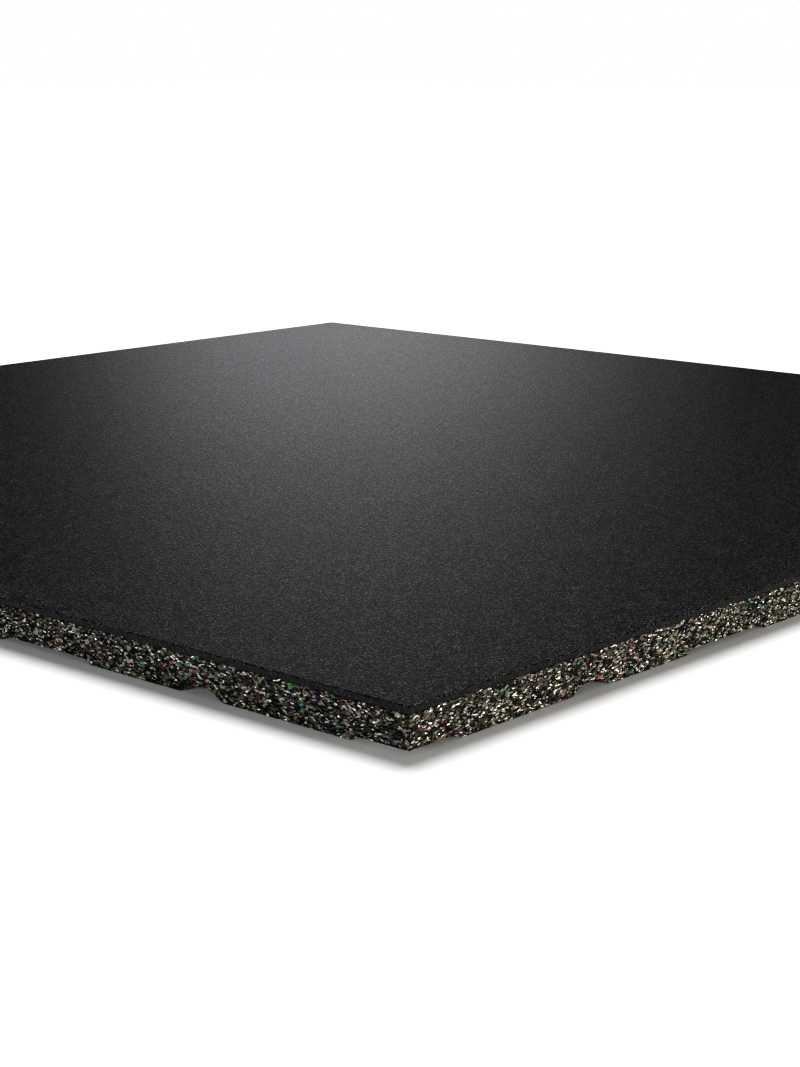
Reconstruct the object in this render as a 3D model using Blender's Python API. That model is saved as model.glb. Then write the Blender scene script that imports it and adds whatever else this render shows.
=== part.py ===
"""Square floor protection mat of bonded granulate with a black wear layer.

The mat lies flat, its underside on z = 0, its centre on the origin, and its
edges along X and Y. The granulate base stands on flat ridges. Rounded drainage
channels cross its underside both ways, with a shallow square dish in each
block between them. All sizes are in metres.
"""
import math

import bmesh
import bpy

# Whole mat
SIDE = 1.000                  # both ways, the mat is square
BASE_HEIGHT = 0.0194          # granulate, from the ridges to its flat top
LAYER_GAP = 0.0003            # adhesive line between granulate and wear layer
COVER_THICKNESS = 0.0035      # black wear layer
COVER_EDGE_RADIUS = 0.0006    # small round on the wear layer's upper edges
COVER_EDGE_STEPS = 2

# Drainage channels, the same set along X and along Y
CHANNEL_WIDTH = 0.0320
CHANNEL_DEPTH = 0.0044        # at the top of its S-shaped walls
CHANNEL_CROWN = 0.0005        # further rise to the middle of the arched ceiling
CHANNEL_WALL = 0.0090         # width that each S-shaped wall takes up
CHANNEL_WALL_STEPS = 4
CHANNEL_INSET = 0.1350        # mat's edge to the first channel's centre

# Shallow dishes between the channels
DISH_WIDTH = 0.0750
DISH_DEPTH = 0.0025
DISH_WALL = 0.0055            # width that each S-shaped wall takes up
DISH_WALL_STEPS = 3
DISH_INSET = 0.2545           # mat's edge to the centre of the first whole dish
EDGE_DISH_REACH = 0.0360      # how far the dishes cut by the mat's edge reach in

CUTTER_MARGIN = 0.020         # how far a cutter runs past what it cuts

GRANULATE_COLOUR = (0.050, 0.047, 0.041, 1.0)
COVER_COLOUR = (0.016, 0.016, 0.017, 1.0)


def clear_scene():
    for obj in list(bpy.data.objects):
        bpy.data.objects.remove(obj, do_unlink=True)


def make_material(name, colour, roughness):
    material = bpy.data.materials.new(name)
    material.use_nodes = True
    shader = material.node_tree.nodes["Principled BSDF"]
    shader.inputs["Base Color"].default_value = colour
    shader.inputs["Roughness"].default_value = roughness
    shader.inputs["Metallic"].default_value = 0.0
    material.diffuse_color = colour
    return material


def add_object(name, bm, parent):
    """Turn a bmesh into a linked object with its faces pointing out."""
    bmesh.ops.recalc_face_normals(bm, faces=bm.faces)
    mesh = bpy.data.meshes.new(name)
    bm.to_mesh(mesh)
    bm.free()
    obj = bpy.data.objects.new(name, mesh)
    bpy.context.collection.objects.link(obj)
    obj.parent = parent
    return obj


def add_block(bm, low, high):
    """Add a closed box between two opposite corners."""
    box = bmesh.ops.create_cube(bm, size=1.0)["verts"]
    size = [top - bottom for bottom, top in zip(low, high)]
    middle = [(top + bottom) / 2 for bottom, top in zip(low, high)]
    bmesh.ops.scale(bm, vec=size, verts=box)
    bmesh.ops.translate(bm, vec=middle, verts=box)


def s_wall(width, depth, steps):
    """(inset, height) points of a wall that leaves and meets its faces softly."""
    points = []
    for step in range(steps + 1):
        turn = math.pi * step / steps
        points.append((width * step / steps, depth * (1 - math.cos(turn)) / 2))
    return points


def channel_section():
    """Cutter outline across one channel, from below the mat to the ceiling."""
    half = CHANNEL_WIDTH / 2
    wall = s_wall(CHANNEL_WALL, CHANNEL_DEPTH, CHANNEL_WALL_STEPS)
    left = [(-half, -CUTTER_MARGIN)] + [(inset - half, height) for inset, height in wall]
    right = [(-across, height) for across, height in reversed(left)]
    return left + [(0.0, CHANNEL_DEPTH + CHANNEL_CROWN)] + right


def channel_centres():
    """Channels beside the edge and beyond the first dish, mirrored about the middle."""
    outer = SIDE / 2 - CHANNEL_INSET
    inner = SIDE / 2 - (2 * DISH_INSET - CHANNEL_INSET)
    return (-outer, -inner, inner, outer)


def dish_spans():
    """Low and high limits of the dishes along one side of the mat."""
    half = SIDE / 2
    past = half + CUTTER_MARGIN
    spans = [(-past, EDGE_DISH_REACH - half)]
    for centre in (DISH_INSET - half, 0.0, half - DISH_INSET):
        spans.append((centre - DISH_WIDTH / 2, centre + DISH_WIDTH / 2))
    spans.append((half - EDGE_DISH_REACH, past))
    return spans


def make_channel_cutter(name, along_x, parent):
    bm = bmesh.new()
    end = SIDE / 2 + CUTTER_MARGIN
    for centre in channel_centres():
        start_face = []
        for across, height in channel_section():
            side = centre + across
            place = (-end, side, height) if along_x else (side, -end, height)
            start_face.append(bm.verts.new(place))
        face = bm.faces.new(start_face)
        swept = bmesh.ops.extrude_face_region(bm, geom=[face])["geom"]
        moved = [item for item in swept if isinstance(item, bmesh.types.BMVert)]
        shift = (2 * end, 0, 0) if along_x else (0, 2 * end, 0)
        bmesh.ops.translate(bm, vec=shift, verts=moved)
    return finish_cutter(add_object(name, bm, parent))


def add_dish(bm, span_x, span_y):
    """Add one dish cutter: square rings that step in as they rise."""
    rings = [(0.0, -CUTTER_MARGIN)] + s_wall(DISH_WALL, DISH_DEPTH, DISH_WALL_STEPS)
    loops = []
    for inset, height in rings:
        low_x, high_x = span_x[0] + inset, span_x[1] - inset
        low_y, high_y = span_y[0] + inset, span_y[1] - inset
        corners = ((low_x, low_y), (high_x, low_y), (high_x, high_y), (low_x, high_y))
        loops.append([bm.verts.new((x, y, height)) for x, y in corners])
    bm.faces.new(loops[0])
    bm.faces.new(loops[-1])
    for lower, upper in zip(loops, loops[1:]):
        for turn in range(4):
            after = (turn + 1) % 4
            bm.faces.new((lower[turn], lower[after], upper[after], upper[turn]))


def make_dish_cutter(name, parent):
    bm = bmesh.new()
    for span_x in dish_spans():
        for span_y in dish_spans():
            add_dish(bm, span_x, span_y)
    return finish_cutter(add_object(name, bm, parent))


def finish_cutter(cutter):
    cutter.hide_render = True
    cutter.display_type = 'WIRE'
    return cutter


def make_granulate_base(parent):
    bm = bmesh.new()
    half = SIDE / 2
    add_block(bm, (-half, -half, 0.0), (half, half, BASE_HEIGHT))
    base = add_object("granulate_base", bm, parent)
    base.data.materials.append(make_material("granulate", GRANULATE_COLOUR, 0.5))
    cutters = (
        make_channel_cutter("cutter_channels_along_x", True, parent),
        make_channel_cutter("cutter_channels_along_y", False, parent),
        make_dish_cutter("cutter_dishes", parent),
    )
    for cutter in cutters:
        cut = base.modifiers.new(cutter.name, 'BOOLEAN')
        cut.operation = 'DIFFERENCE'
        cut.solver = 'EXACT'
        cut.object = cutter
    return base


def make_wear_layer(parent):
    bm = bmesh.new()
    half = SIDE / 2
    bottom = BASE_HEIGHT + LAYER_GAP
    top = bottom + COVER_THICKNESS
    add_block(bm, (-half, -half, bottom), (half, half, top))
    middle = (bottom + top) / 2
    upper_edges = [edge for edge in bm.edges if min(v.co.z for v in edge.verts) > middle]
    bmesh.ops.bevel(bm, geom=upper_edges, offset=COVER_EDGE_RADIUS, segments=COVER_EDGE_STEPS,
                    profile=0.5, affect='EDGES')
    cover = add_object("wear_layer", bm, parent)
    cover.data.materials.append(make_material("black_wear_layer", COVER_COLOUR, 0.55))
    return cover


def main():
    clear_scene()
    mat = bpy.data.objects.new("floor_protection_mat", None)
    bpy.context.collection.objects.link(mat)
    make_granulate_base(mat)
    make_wear_layer(mat)


main()
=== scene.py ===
import math

import bpy
import numpy as np
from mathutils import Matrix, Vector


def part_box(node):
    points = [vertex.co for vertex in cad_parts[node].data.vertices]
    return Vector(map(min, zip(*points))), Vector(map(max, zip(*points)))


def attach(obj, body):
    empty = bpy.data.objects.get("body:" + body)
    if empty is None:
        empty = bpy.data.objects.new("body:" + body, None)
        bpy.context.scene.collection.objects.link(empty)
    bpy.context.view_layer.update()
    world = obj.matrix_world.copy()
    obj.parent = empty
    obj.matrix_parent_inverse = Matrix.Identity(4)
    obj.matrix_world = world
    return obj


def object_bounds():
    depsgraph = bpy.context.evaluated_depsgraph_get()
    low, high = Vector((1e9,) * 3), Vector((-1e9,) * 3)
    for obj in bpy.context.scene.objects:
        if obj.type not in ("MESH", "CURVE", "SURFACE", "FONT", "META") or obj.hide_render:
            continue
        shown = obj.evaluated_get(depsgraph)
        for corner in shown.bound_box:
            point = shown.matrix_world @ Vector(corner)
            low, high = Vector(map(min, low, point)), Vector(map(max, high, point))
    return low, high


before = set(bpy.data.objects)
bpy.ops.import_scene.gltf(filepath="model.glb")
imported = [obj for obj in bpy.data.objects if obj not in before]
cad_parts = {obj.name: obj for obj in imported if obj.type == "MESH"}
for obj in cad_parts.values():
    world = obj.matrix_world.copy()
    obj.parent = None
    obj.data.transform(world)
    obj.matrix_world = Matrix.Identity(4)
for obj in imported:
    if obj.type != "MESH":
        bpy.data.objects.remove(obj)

# Floor protection mat: a slab of coloured granulate with a black grained wear layer on top.
# Lengths are in metres, angles in degrees.

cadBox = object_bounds()
baseNode = "granulate_base"
coverNode = "wear_layer"
baseLow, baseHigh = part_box(baseNode)
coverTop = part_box(coverNode)[1].z
print("frame loaded:", sorted(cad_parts))


def addNode(tree, kind, **settings):
    node = tree.nodes.new(kind)
    for name, value in settings.items():
        setattr(node, name, value)
    return node


def newMaterial(name):
    material = bpy.data.materials.new(name)
    material.use_nodes = True
    shader = material.node_tree.nodes["Principled BSDF"]
    return material, material.node_tree, shader


def mathNode(tree, operation, first, second):
    # each input is a number or another node's output
    node = addNode(tree, "ShaderNodeMath", operation=operation)
    for socket, value in zip(node.inputs, (first, second)):
        if isinstance(value, (int, float)):
            socket.default_value = value
        else:
            tree.links.new(value, socket)
    return node.outputs[0]


def remap(tree, value, toLow, toHigh, fromLow=0.0, fromHigh=1.0):
    node = addNode(tree, "ShaderNodeMapRange")
    tree.links.new(value, node.inputs["Value"])
    node.inputs["From Min"].default_value = fromLow
    node.inputs["From Max"].default_value = fromHigh
    node.inputs["To Min"].default_value = toLow
    node.inputs["To Max"].default_value = toHigh
    return node.outputs["Result"]


def scaleColour(tree, colour, factor):
    node = addNode(tree, "ShaderNodeVectorMath", operation="SCALE")
    tree.links.new(colour, node.inputs[0])
    tree.links.new(factor, node.inputs["Scale"])
    return node.outputs["Vector"]


def noiseNode(tree, place, scale, detail, roughness):
    node = addNode(tree, "ShaderNodeTexNoise")
    node.inputs["Scale"].default_value = scale
    node.inputs["Detail"].default_value = detail
    node.inputs["Roughness"].default_value = roughness
    tree.links.new(place.outputs["Object"], node.inputs["Vector"])
    return node.outputs["Fac"]


def addBump(tree, shader, height, distance, strength=1.0):
    bump = addNode(tree, "ShaderNodeBump")
    bump.inputs["Strength"].default_value = strength
    bump.inputs["Distance"].default_value = distance
    tree.links.new(height, bump.inputs["Height"])
    tree.links.new(bump.outputs["Normal"], shader.inputs["Normal"])


# Chips of the granulate: share of the chips, then colour
chipPalette = {
    "black": (0.250, (0.002, 0.002, 0.002)),
    "soot": (0.120, (0.009, 0.009, 0.008)),
    "darkOlive": (0.120, (0.036, 0.035, 0.024)),
    "umber": (0.075, (0.062, 0.048, 0.035)),
    "oliveGrey": (0.090, (0.105, 0.102, 0.076)),
    "stoneGrey": (0.100, (0.210, 0.198, 0.160)),
    "paleGrey": (0.090, (0.460, 0.440, 0.370)),
    "offWhite": (0.080, (0.850, 0.810, 0.700)),
    "cream": (0.020, (0.760, 0.670, 0.490)),
    "paleGreen": (0.010, (0.240, 0.320, 0.180)),
    "palePink": (0.011, (0.460, 0.270, 0.250)),
    "lilac": (0.005, (0.270, 0.220, 0.360)),
    "red": (0.006, (0.280, 0.040, 0.036)),
    "darkRed": (0.014, (0.075, 0.015, 0.012)),
    "coral": (0.002, (0.400, 0.110, 0.060)),
    "green": (0.007, (0.045, 0.150, 0.045)),
    "lime": (0.004, (0.150, 0.210, 0.060)),
    "teal": (0.004, (0.040, 0.190, 0.150)),
    "skyBlue": (0.002, (0.080, 0.240, 0.330)),
    "blue": (0.003, (0.026, 0.042, 0.200)),
    "purple": (0.004, (0.075, 0.030, 0.190)),
}


def paletteRamp(tree, pick):
    # one flat step for each chip colour, as wide as its share
    ramp = addNode(tree, "ShaderNodeValToRGB")
    stops = ramp.color_ramp
    stops.interpolation = "CONSTANT"
    total = sum(share for share, _ in chipPalette.values())
    place = 0.0
    for index, (share, colour) in enumerate(chipPalette.values()):
        stop = stops.elements[0] if index == 0 else stops.elements.new(place)
        stop.position = place
        stop.color = (*colour, 1)
        place += share / total
    if len(stops.elements) > len(chipPalette):
        stops.elements.remove(stops.elements[-1])
    tree.links.new(pick, ramp.inputs["Fac"])
    return ramp.outputs["Color"]


chipFinish = {
    "mottleScale": 1300,                   # cells per metre
    "mottleDetail": 2.0,
    "mottleFade": 0.7,                     # of each finer octave
    "mottleLevel": (0.22, 1.25),           # dark and light spots within one chip
    "mottleRange": (0.36, 0.6),            # noise values that give these two
    "shadeLevel": (0.3, 1.4),              # dark and light chips of one colour
    "roughness": (0.7, 0.45),
    "specular": 0.02,
    "relief": 0.0006,
}


def makeChipMaterial():
    material, tree, shader = newMaterial("cutChips")
    pick = addNode(tree, "ShaderNodeAttribute", attribute_name="chipPick")
    shade = addNode(tree, "ShaderNodeAttribute", attribute_name="chipShade").outputs["Fac"]
    place = addNode(tree, "ShaderNodeTexCoord")
    mottle = noiseNode(tree, place, chipFinish["mottleScale"], chipFinish["mottleDetail"],
                       chipFinish["mottleFade"])
    spots = remap(tree, mottle, *chipFinish["mottleLevel"], *chipFinish["mottleRange"])
    level = mathNode(tree, "MULTIPLY", spots, remap(tree, shade, *chipFinish["shadeLevel"]))
    colour = paletteRamp(tree, pick.outputs["Fac"])
    tree.links.new(scaleColour(tree, colour, level), shader.inputs["Base Color"])
    tree.links.new(remap(tree, shade, *chipFinish["roughness"]), shader.inputs["Roughness"])
    shader.inputs["Specular IOR Level"].default_value = chipFinish["specular"]
    addBump(tree, shader, mottle, chipFinish["relief"])
    return material


# The base's own surface: its underside, and what shows in the gaps between the raised chips, painted dark
# there as shade between the chips
granulate = {
    "cells": (480, 480, 820),              # per metre, along X, Y and Z
    "rimLevel": (1.0, 0.25),               # from a cell's middle to its rim
    "rimRange": (0.25, 0.75),              # distances from the middle that give these two
    # random cell tones, kept low so the cut sides' gaps read as painted shade between the chips
    "shadeLevel": (0.1, 0.4),
    "underside": 3.0,                      # times as bright as the gaps in the cut sides, which keep the painted shade
    "undersideRange": (-0.4, -0.1),        # height of the surface normal, underside to side
    "roughness": (0.35, 0.7),
    "specular": 0.05,
    "relief": 0.0003,
    "reliefStrength": 0.6,
}


def makeGranulateMaterial():
    material, tree, shader = newMaterial("bondedGranulate")
    place = addNode(tree, "ShaderNodeTexCoord")
    stretch = addNode(tree, "ShaderNodeMapping")
    stretch.inputs["Scale"].default_value = granulate["cells"]
    tree.links.new(place.outputs["Object"], stretch.inputs["Vector"])
    cells = addNode(tree, "ShaderNodeTexVoronoi", feature="F1")
    cells.inputs["Scale"].default_value = 1.0
    tree.links.new(stretch.outputs["Vector"], cells.inputs["Vector"])
    split = addNode(tree, "ShaderNodeSeparateColor")
    tree.links.new(cells.outputs["Color"], split.inputs["Color"])
    rim = remap(tree, cells.outputs["Distance"], *granulate["rimLevel"], *granulate["rimRange"])
    level = mathNode(tree, "MULTIPLY", rim, remap(tree, split.outputs["Green"], *granulate["shadeLevel"]))
    facing = addNode(tree, "ShaderNodeSeparateXYZ")
    tree.links.new(place.outputs["Normal"], facing.inputs["Vector"])
    # the cut sides keep the dark level as painted shade in the gaps between chips; the underside is lifted
    # out of it
    undersideLiftFromGapShade = remap(tree, facing.outputs["Z"], granulate["underside"], 1.0, *granulate["undersideRange"])
    level = mathNode(tree, "MULTIPLY", level, undersideLiftFromGapShade)
    colour = paletteRamp(tree, split.outputs["Red"])
    tree.links.new(scaleColour(tree, colour, level), shader.inputs["Base Color"])
    tree.links.new(remap(tree, split.outputs["Blue"], *granulate["roughness"]), shader.inputs["Roughness"])
    shader.inputs["Specular IOR Level"].default_value = granulate["specular"]
    height = mathNode(tree, "ADD", rim, split.outputs["Green"])
    addBump(tree, shader, height, granulate["relief"], granulate["reliefStrength"])
    return material


# Black wear layer: a matt speckled body under a smooth satin skin that is thicker on the specks; the
# specks are a random grain whose contrast is partly painted glints on crests and painted shade in pits
cover = {
    "speckScale": 1650,                    # cells per metre
    "speckPower": 7.0,                     # higher makes bright specks rarer
    "colour": (0.0003, 0.105),             # dark specks, then light specks, as for the next two; their colour is partly painted shade in pits and painted glints on crests
    "roughness": (0.85, 0.60),
    "skinWeight": (0.185, 0.473),
    "skinRoughness": 0.28,
    "sidePaintedShade": 0.12,                     # painted shade: the body's colour on the layer's cut sides, as a share of the top's
    "sideSkin": 0.88,                      # share of the skin that the cut sides have
    "sideRoughness": 1.0,
    "sideRange": (0.0, 0.5),               # height of the surface normal, cut side to face
    "reliefScale": 700,
    "reliefOctaves": 1,
    "reliefFade": 0.8,                     # of each finer octave
    "relief": 0.0008,
}


def makeCoverMaterial():
    material, tree, shader = newMaterial("hammeredBlack")
    place = addNode(tree, "ShaderNodeTexCoord")
    cells = addNode(tree, "ShaderNodeTexVoronoi", feature="F1")
    cells.inputs["Scale"].default_value = cover["speckScale"]
    tree.links.new(place.outputs["Object"], cells.inputs["Vector"])
    split = addNode(tree, "ShaderNodeSeparateColor")
    tree.links.new(cells.outputs["Color"], split.inputs["Color"])
    specks = mathNode(tree, "POWER", split.outputs["Red"], cover["speckPower"])
    upward = addNode(tree, "ShaderNodeSeparateXYZ")
    tree.links.new(place.outputs["Normal"], upward.inputs["Vector"])
    onSide = remap(tree, upward.outputs["Z"], 1.0, 0.0, *cover["sideRange"])

    # speck colour: random grain, partly painted glints on crests and painted shade in pits of the hammered
    # relief
    level = remap(tree, specks, *cover["colour"])
    # the cut sides get a darker copy of the body colour, as painted shade
    level = mathNode(tree, "MULTIPLY", level, remap(tree, onSide, 1.0, cover["sidePaintedShade"]))
    colour = addNode(tree, "ShaderNodeCombineColor")
    for channel in ("Red", "Green", "Blue"):
        tree.links.new(level, colour.inputs[channel])
    tree.links.new(colour.outputs["Color"], shader.inputs["Base Color"])
    roughness = remap(tree, specks, *cover["roughness"])
    roughness = mathNode(tree, "MAXIMUM", roughness, remap(tree, onSide, 0.0, cover["sideRoughness"]))
    tree.links.new(roughness, shader.inputs["Roughness"])
    shader.inputs["Specular IOR Level"].default_value = 0.0

    skin = remap(tree, specks, *cover["skinWeight"])
    skin = mathNode(tree, "MULTIPLY", skin, remap(tree, onSide, 1.0, cover["sideSkin"]))
    tree.links.new(skin, shader.inputs["Coat Weight"])
    shader.inputs["Coat Roughness"].default_value = cover["skinRoughness"]
    relief = noiseNode(tree, place, cover["reliefScale"], cover["reliefOctaves"], cover["reliefFade"])
    addBump(tree, shader, relief, cover["relief"])
    return material


def dressNodes():
    for name, material in ((baseNode, makeGranulateMaterial()), (coverNode, makeCoverMaterial())):
        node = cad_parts[name]
        if not node.material_slots:
            node.data.materials.append(material)
        for slot in node.material_slots:
            slot.material = material
    print("base and wear layer dressed")


# Raised chips on the four cut sides, in brick-like rows
chips = {
    "seed": 11,
    "spacing": 0.0021,                     # along the mat's edge
    "rowHeight": 0.0012,
    "jitter": 0.45,                        # of a spacing or a row, each way
    "length": (0.0022, 0.0052),
    "shortening": (0.7, 1.0),
    "height": (0.0009, 0.0017),
    "corners": 5,
    "cornerJitter": 0.3,                   # of the angle from corner to corner
    "reach": (0.72, 1.12),                 # how far each corner stands from the middle
    "turn": 0.25,                          # radians, typical tilt in the cut face
    "faceSize": (0.80, 0.93),              # a chip's front face against its outline
    "lean": 0.10,                          # typical slope of that face
    "proud": (0.00002, 0.00020),           # how far it stands out from the cut
    "proudest": (0.00001, 0.0003),         # limits of that once it leans
    "sunk": 0.0003,                        # how far the chip's back is buried
    "colouredFrom": 0.929,                 # share of black, grey, brown and white chips
    "colouredSize": 1.35,
    "plainSize": (1.2, 0.85),              # from the black chips to the cream ones
    "overCover": 0.0008,                   # the ragged upper line laps this far over the wear layer
    "ragged": (-0.6, 1.0),                 # share of that, lowest and highest
    "clearUnder": 0.0002,                  # a chip's middle stays this far under the line
    "clearOver": 0.00002,                  # and its outline this far above the underside
}


def lowerEdge(axis, side):
    # (distance along, height) of the base's underside where it meets one side face
    points = set()
    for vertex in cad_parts[baseNode].data.vertices:
        x, y, z = vertex.co
        across, along = (x, y) if axis == 0 else (y, x)
        if abs(across - side) < 1e-5 and z < baseHigh.z / 2:
            points.add((round(along, 6), round(z, 6)))
    return np.array(sorted(points))


def chipPlaces(rng, edge, half):
    # the chips' middles on one side face, and the height that each is cut off at
    jitter = chips["jitter"]
    columns = int(round(2 * half / chips["spacing"]))
    rows = int(round((baseHigh.z + chips["overCover"]) / chips["rowHeight"]))
    column, row = np.meshgrid(np.arange(columns), np.arange(rows))
    column = column.ravel() + rng.uniform(-jitter, jitter, column.size)
    row = row.ravel()
    along = -half + (column + 0.5 + 0.5 * (row % 2)) * 2 * half / columns
    up = (row + 0.5 + rng.uniform(-jitter, jitter, row.size)) * chips["rowHeight"]
    floor = np.interp(along, edge[:, 0], edge[:, 1])
    ceiling = baseHigh.z + rng.uniform(*chips["ragged"], along.size) * chips["overCover"]
    keep = (up > floor) & (up < ceiling - chips["clearUnder"]) & (abs(along) < half)
    return along[keep], up[keep], ceiling[keep]


def chipOutlines(rng, along, up, size):
    # irregular outlines, longer along the edge than tall, each a little turned
    count = len(along)
    corners = chips["corners"]
    jitter = chips["cornerJitter"]
    turn = rng.normal(0, chips["turn"], count)[:, None]
    angle = (np.arange(corners) + rng.uniform(-jitter, jitter, (count, corners))) * math.tau / corners
    angle = angle + rng.uniform(0, math.tau, count)[:, None]
    reach = rng.uniform(*chips["reach"], (count, corners))
    length = rng.uniform(*chips["length"], count) * rng.uniform(*chips["shortening"], count) * size
    height = rng.uniform(*chips["height"], count) * size
    u = np.cos(angle) * reach * length[:, None] / 2
    v = np.sin(angle) * reach * height[:, None] / 2
    return (along[:, None] + u * np.cos(turn) - v * np.sin(turn),
            up[:, None] + u * np.sin(turn) + v * np.cos(turn))


def raiseChips(rng, u, v):
    # the buried outline, then a smaller leaning front face that stands out from the cut
    count = len(u)
    middleU, middleV = u.mean(1, keepdims=True), v.mean(1, keepdims=True)
    shrink = rng.uniform(*chips["faceSize"], (count, 1))
    faceU, faceV = middleU + (u - middleU) * shrink, middleV + (v - middleV) * shrink
    lean = rng.normal(0, chips["lean"], (count, 2))
    proud = rng.uniform(*chips["proud"], (count, 1))
    out = proud + (faceU - middleU) * lean[:, :1] + (faceV - middleV) * lean[:, 1:]
    out = np.clip(out, *chips["proudest"])
    buried = np.full(u.shape, -chips["sunk"])
    return np.concatenate([u, faceU], 1), np.concatenate([v, faceV], 1), np.concatenate([buried, out], 1)


def chipFaces(count, flip):
    corners = chips["corners"]
    ring = np.arange(corners)
    after = (ring + 1) % corners
    quads = np.stack([ring, after, after + corners, ring + corners], 1)
    faces = []
    for first in range(0, count * 2 * corners, 2 * corners):
        faces += (quads + first).tolist()
        faces.append((ring + corners + first).tolist())
        faces.append((ring[::-1] + first).tolist())
    return [face[::-1] for face in faces] if flip else faces


def makeChips(name, axis, side, material):
    # chips stand on the face at `side` along X (axis 0) or Y (axis 1)
    rng = np.random.default_rng(chips["seed"] + 7 * axis + (1 if side > 0 else 0))
    edge = lowerEdge(axis, side)
    half = abs(side)
    along, up, ceiling = chipPlaces(rng, edge, half)
    count = len(along)
    pick = rng.uniform(0, 1, count)
    largest, smallest = chips["plainSize"]
    plainSize = largest - (largest - smallest) * pick
    size = np.where(pick > chips["colouredFrom"], chips["colouredSize"], plainSize)
    u, v, w = raiseChips(rng, *chipOutlines(rng, along, up, size))
    u = np.clip(u, -half, half)
    v = np.maximum(v, np.interp(u, edge[:, 0], edge[:, 1]) + chips["clearOver"])
    v = np.minimum(v, ceiling[:, None])

    away = math.copysign(1, side)
    place = np.empty((*u.shape, 3))
    place[..., axis] = side + away * w
    place[..., 1 - axis] = u
    place[..., 2] = v
    mesh = bpy.data.meshes.new(name)
    mesh.from_pydata(place.reshape(-1, 3).tolist(), [], chipFaces(count, (away > 0) != (axis == 0)))
    for attribute, values in (("chipPick", pick), ("chipShade", rng.uniform(0, 1, count))):
        layer = mesh.attributes.new(attribute, "FLOAT", "POINT")
        layer.data.foreach_set("value", np.repeat(values, u.shape[1]).astype(np.float32))
    mesh.materials.append(material)
    mesh.update()
    piece = bpy.data.objects.new(name, mesh)
    bpy.context.scene.collection.objects.link(piece)
    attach(piece, "root")
    print(name, count, "chips,", count * (4 * chips["corners"] - 4), "triangles")


# The camera stands out from the mat's near corner, at low X and low Y
photo = {
    "height": 1067,                        # pixels, of a photo 800 wide
    "focalPixels": 2079,
    "yaw": 41.78,                          # from +X towards +Y
    "pitch": 12.67,                        # down
    "fromCorner": (-0.6577, -0.5824, 0.2991),
}


def makeCamera():
    data = bpy.data.cameras.new("photoView")
    camera = bpy.data.objects.new("photoView", data)
    bpy.context.scene.collection.objects.link(camera)
    corner = (cadBox[0].x, cadBox[0].y, 0)
    camera.location = [near + away for near, away in zip(corner, photo["fromCorner"])]
    camera.rotation_euler = (math.radians(90 - photo["pitch"]), 0, math.radians(photo["yaw"] - 90))
    data.sensor_fit = "VERTICAL"
    data.sensor_height = 36                # millimetres, as the lens is
    data.lens = photo["focalPixels"] / photo["height"] * data.sensor_height
    data.clip_end = 200
    bpy.context.scene.camera = camera
    bpy.context.scene.view_settings.view_transform = "Standard"


def keepFineGrain():
    # without these the denoiser smears the wear layer's grain at its far edge and sides
    bpy.context.scene.cycles.denoising_prefilter = "NONE"
    bpy.context.scene.cycles.filter_width = 1.15


studio = {
    "floorSize": 60.0,
    "floorDrop": 0.0002,                   # below the ridges that the mat rests on
    "floorColour": (0.97, 0.97, 0.97, 1),
    "backdrop": 1.0,                       # what the camera sees past the floor
    "skyLight": 0.12,
    "sunStrength": 4.0,
    "sunElevation": 47,
    "sunSoftness": 30,
}


def makeFloor():
    size = studio["floorSize"] / 2
    height = -studio["floorDrop"]
    mesh = bpy.data.meshes.new("studioFloor")
    corners = [(-size, -size, height), (size, -size, height), (size, size, height), (-size, size, height)]
    mesh.from_pydata(corners, [], [(0, 1, 2, 3)])
    material, _, shader = newMaterial("studioWhite")
    shader.inputs["Base Color"].default_value = studio["floorColour"]
    shader.inputs["Roughness"].default_value = 1.0
    shader.inputs["Specular IOR Level"].default_value = 0.0
    mesh.materials.append(material)
    floor = bpy.data.objects.new("studioFloor", mesh)
    bpy.context.scene.collection.objects.link(floor)


def makeWorld():
    world = bpy.data.worlds.new("studioAir")
    bpy.context.scene.world = world
    world.use_nodes = True
    tree = world.node_tree
    tree.nodes.clear()
    rays = addNode(tree, "ShaderNodeLightPath")
    background = addNode(tree, "ShaderNodeBackground")
    background.inputs["Color"].default_value = (1, 1, 1, 1)
    output = addNode(tree, "ShaderNodeOutputWorld")
    strength = remap(tree, rays.outputs["Is Camera Ray"], studio["skyLight"], studio["backdrop"])
    tree.links.new(strength, background.inputs["Strength"])
    tree.links.new(background.outputs["Background"], output.inputs["Surface"])
    world.cycles_visibility.glossy = False


# Lamps stand at azimuths measured round the mat's middle, from +X towards +Y
lamps = {
    "leftFill": {"azimuth": 184, "distance": 4.0, "height": 0.65, "size": (2.0, 0.4), "watts": 60,
                 "colour": (0.93, 0.97, 1.0), "aim": (-0.5, -0.1, 0.01)},
    "rightFill": {"azimuth": -86, "distance": 4.0, "height": 0.25, "size": (2.0, 0.4), "watts": 174,
                  "colour": (1.0, 0.95, 0.86), "aim": (-0.1, -0.5, 0.01)},
}

# A low curved softbox behind the mat gives the top its sheen
softbox = {
    "azimuth": 44.4,                       # of the brightest strip
    "distance": 3.0,
    "height": 0.40,
    "strips": (6, 8),                      # to the left and right of the brightest
    "step": 2.0,                           # from strip to strip
    "spread": (7.9, 10.6),                 # over which the strips grow dim, left and right
    "falloff": 2.4,
    "size": (0.105, 0.16),
    "watts": 0.495,                        # of the brightest strip
    "leftColour": (0.940, 0.953, 1.0),
    "rightColour": (1, 1, 1),
}


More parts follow.
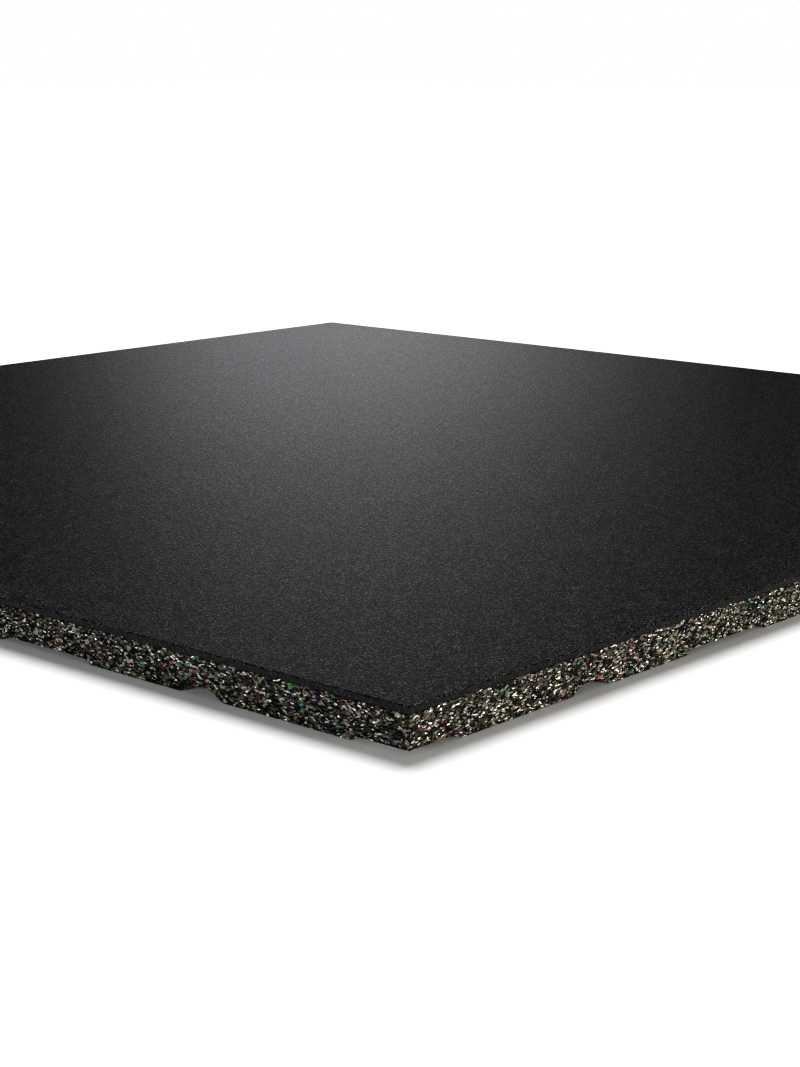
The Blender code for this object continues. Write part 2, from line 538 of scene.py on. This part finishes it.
def addLamp(name, kind, place, aim):
    lamp = bpy.data.lights.new(name, kind)
    holder = bpy.data.objects.new(name, lamp)
    bpy.context.scene.collection.objects.link(holder)
    way = np.array(aim, float) - np.array(place, float)
    tilt = math.acos(-way[2] / np.linalg.norm(way))
    holder.location = place
    holder.rotation_euler = (tilt, 0, math.atan2(way[1], way[0]) - math.pi / 2)
    return holder, lamp


def addPanel(name, azimuth, distance, height, size, watts, aim, colour):
    turn = math.radians(azimuth)
    place = (distance * math.cos(turn), distance * math.sin(turn), height)
    holder, light = addLamp(name, "AREA", place, aim)
    light.shape = "RECTANGLE"
    light.size, light.size_y = size
    light.energy = watts
    light.color = colour
    holder.visible_camera = False
    return holder


def makeSun():
    yaw = math.radians(photo["yaw"])
    rise = math.radians(studio["sunElevation"])
    place = (math.cos(yaw) * math.cos(rise), math.sin(yaw) * math.cos(rise), math.sin(rise))
    holder, sun = addLamp("overheadSun", "SUN", place, (0, 0, 0))
    sun.energy = studio["sunStrength"]
    sun.angle = math.radians(studio["sunSoftness"])
    holder.visible_glossy = False


def makeSoftbox():
    leftCount, rightCount = softbox["strips"]
    leftSpread, rightSpread = softbox["spread"]
    aim = (0, 0, coverTop)
    for index in range(-rightCount, leftCount + 1):
        offset = index * softbox["step"]
        spread = leftSpread if offset > 0 else rightSpread
        watts = softbox["watts"] * math.exp(-abs(offset / spread) ** softbox["falloff"])
        colour = softbox["leftColour"] if offset >= 0 else softbox["rightColour"]
        strip = addPanel("softbox_" + str(index + rightCount + 1), softbox["azimuth"] + offset,
                         softbox["distance"], softbox["height"], softbox["size"], watts, aim, colour)
        strip.visible_diffuse = False


def makeLights():
    makeSun()
    for name, lamp in lamps.items():
        addPanel(name, lamp["azimuth"], lamp["distance"], lamp["height"], lamp["size"], lamp["watts"],
                 lamp["aim"], lamp["colour"])
    makeSoftbox()


makeCamera()
keepFineGrain()
makeWorld()
makeLights()
makeFloor()
print("studio ready")
dressNodes()
chipMaterial = makeChipMaterial()
for sideName, axis, side in (("front", 1, baseLow.y), ("left", 0, baseLow.x),
                             ("back", 1, baseHigh.y), ("right", 0, baseHigh.x)):
    makeChips("chips_" + sideName, axis, side, chipMaterial)
print("chips placed")
